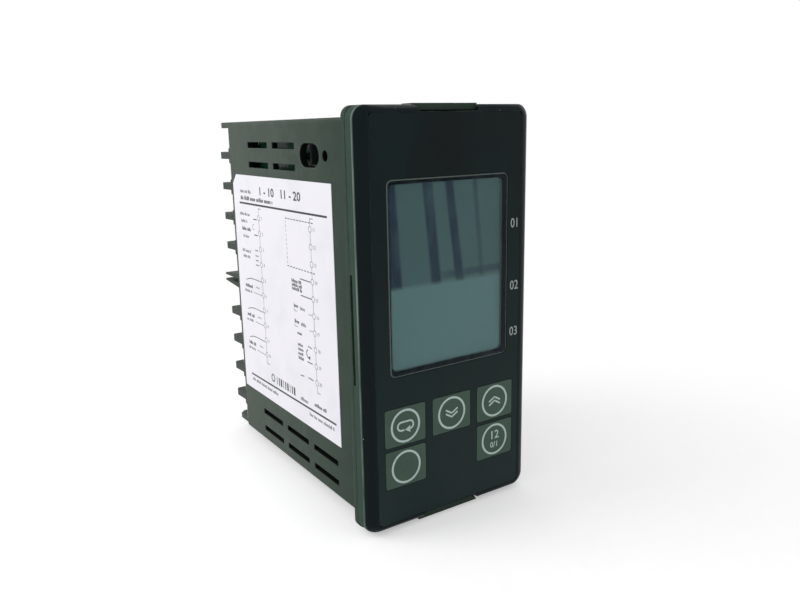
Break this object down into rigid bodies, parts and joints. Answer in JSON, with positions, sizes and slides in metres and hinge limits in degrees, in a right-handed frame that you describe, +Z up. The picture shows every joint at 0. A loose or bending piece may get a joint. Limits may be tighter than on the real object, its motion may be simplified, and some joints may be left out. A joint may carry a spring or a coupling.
{
  "type": "panel-mount temperature controller",
  "caption": "Panel-mount PID temperature controller: tall bezel with display window and push keys, deep vented case behind it and screw terminals at the back.",
  "frame": {"origin": "centre of the bezel outline, on the plane where the case flange meets the panel", "axes": "+X to the right seen from the front, +Y into the panel, +Z up"},
  "size_m": [0.048, 0.0842, 0.0972],
  "materials": {
    "case_moulding": "fine-textured moulded polymer, satin",
    "bezel_moulding": "fine-textured moulded polymer, satin",
    "printed_sheet": "screen-printed polyester sheet, matt",
    "clear_window": "clear moulded acrylic, gloss",
    "display_cell": "liquid crystal cell, gloss",
    "white_moulding": "white moulded polymer, satin",
    "diffuser": "milky acrylic diffuser",
    "conductive_rubber": "layered silicone rubber",
    "seal_rubber": "moulded nitrile rubber",
    "label_film": "printed white film",
    "key_print": "printed polyester over rubber, matt",
    "nickel_plate": "nickel-plated brass strip",
    "zinc_steel": "zinc-plated steel",
    "board_green": "glass-epoxy board with green solder mask",
    "chip_epoxy": "moulded epoxy",
    "ferrite": "sintered ferrite",
    "coil_tape": "yellow polyester tape",
    "can_sleeve": "dark shrink sleeve over aluminium",
    "sink_aluminium": "extruded aluminium",
    "relay_moulding": "sealed relay cover",
    "pin_gold": "gold-flashed pins",
    "lamp_white": "white lamp package",
    "switch_moulding": "black switch housing"
  },
  "bodies": {
    "case": {"rear_case": "case_moulding", "terminal_block_upper": "case_moulding", "terminal_block_lower": "case_moulding", "terminal_plates": "nickel_plate", "terminal_screws": "zinc_steel", "side_label": "label_film"},
    "front_unit": {"front_panel": "bezel_moulding", "front_sheet": "printed_sheet", "display_window": "clear_window", "front_seal": "seal_rubber", "lcd_cell": "display_cell", "lcd_frame": "white_moulding", "lcd_contact_strips": "conductive_rubber", "light_guide": "diffuser", "backlight_leds": "lamp_white", "display_board": "board_green", "power_board": "board_green", "io_board": "board_green", "board_headers": "chip_epoxy", "board_brace": "white_moulding", "microcontroller": "chip_epoxy", "transformer_core": "ferrite", "transformer_coil": "coil_tape", "power_capacitors": "can_sleeve", "noise_choke": "ferrite", "heat_sink": "sink_aluminium", "output_relays": "relay_moulding", "io_chips": "chip_epoxy", "setup_socket": "chip_epoxy", "setup_pins": "pin_gold", "switch_bodies": "switch_moulding"},
    "mode_push": {"mode_key": "key_print", "mode_button": "switch_moulding"},
    "level_push": {"level_key": "key_print", "level_button": "switch_moulding"},
    "down_push": {"down_key": "key_print", "down_button": "switch_moulding"},
    "up_push": {"up_key": "key_print", "up_button": "switch_moulding"},
    "function_push": {"function_key": "key_print", "function_button": "switch_moulding"}
  },
  "joints": [
    {"name": "front_unit_draw", "type": "slide", "parent": "case", "child": "front_unit", "axis": [0, -1, 0], "range_m": [0, 0.06]},
    {"name": "mode_press", "type": "slide", "parent": "front_unit", "child": "mode_push", "axis": [0, 1, 0], "range_m": [0, 0.0003], "stiffness_N_per_m": 5000},
    {"name": "level_press", "type": "slide", "parent": "front_unit", "child": "level_push", "axis": [0, 1, 0], "range_m": [0, 0.0003], "stiffness_N_per_m": 5000},
    {"name": "down_press", "type": "slide", "parent": "front_unit", "child": "down_push", "axis": [0, 1, 0], "range_m": [0, 0.0003], "stiffness_N_per_m": 5000},
    {"name": "up_press", "type": "slide", "parent": "front_unit", "child": "up_push", "axis": [0, 1, 0], "range_m": [0, 0.0003], "stiffness_N_per_m": 5000},
    {"name": "function_press", "type": "slide", "parent": "front_unit", "child": "function_push", "axis": [0, 1, 0], "range_m": [0, 0.0003], "stiffness_N_per_m": 5000}
  ]
}
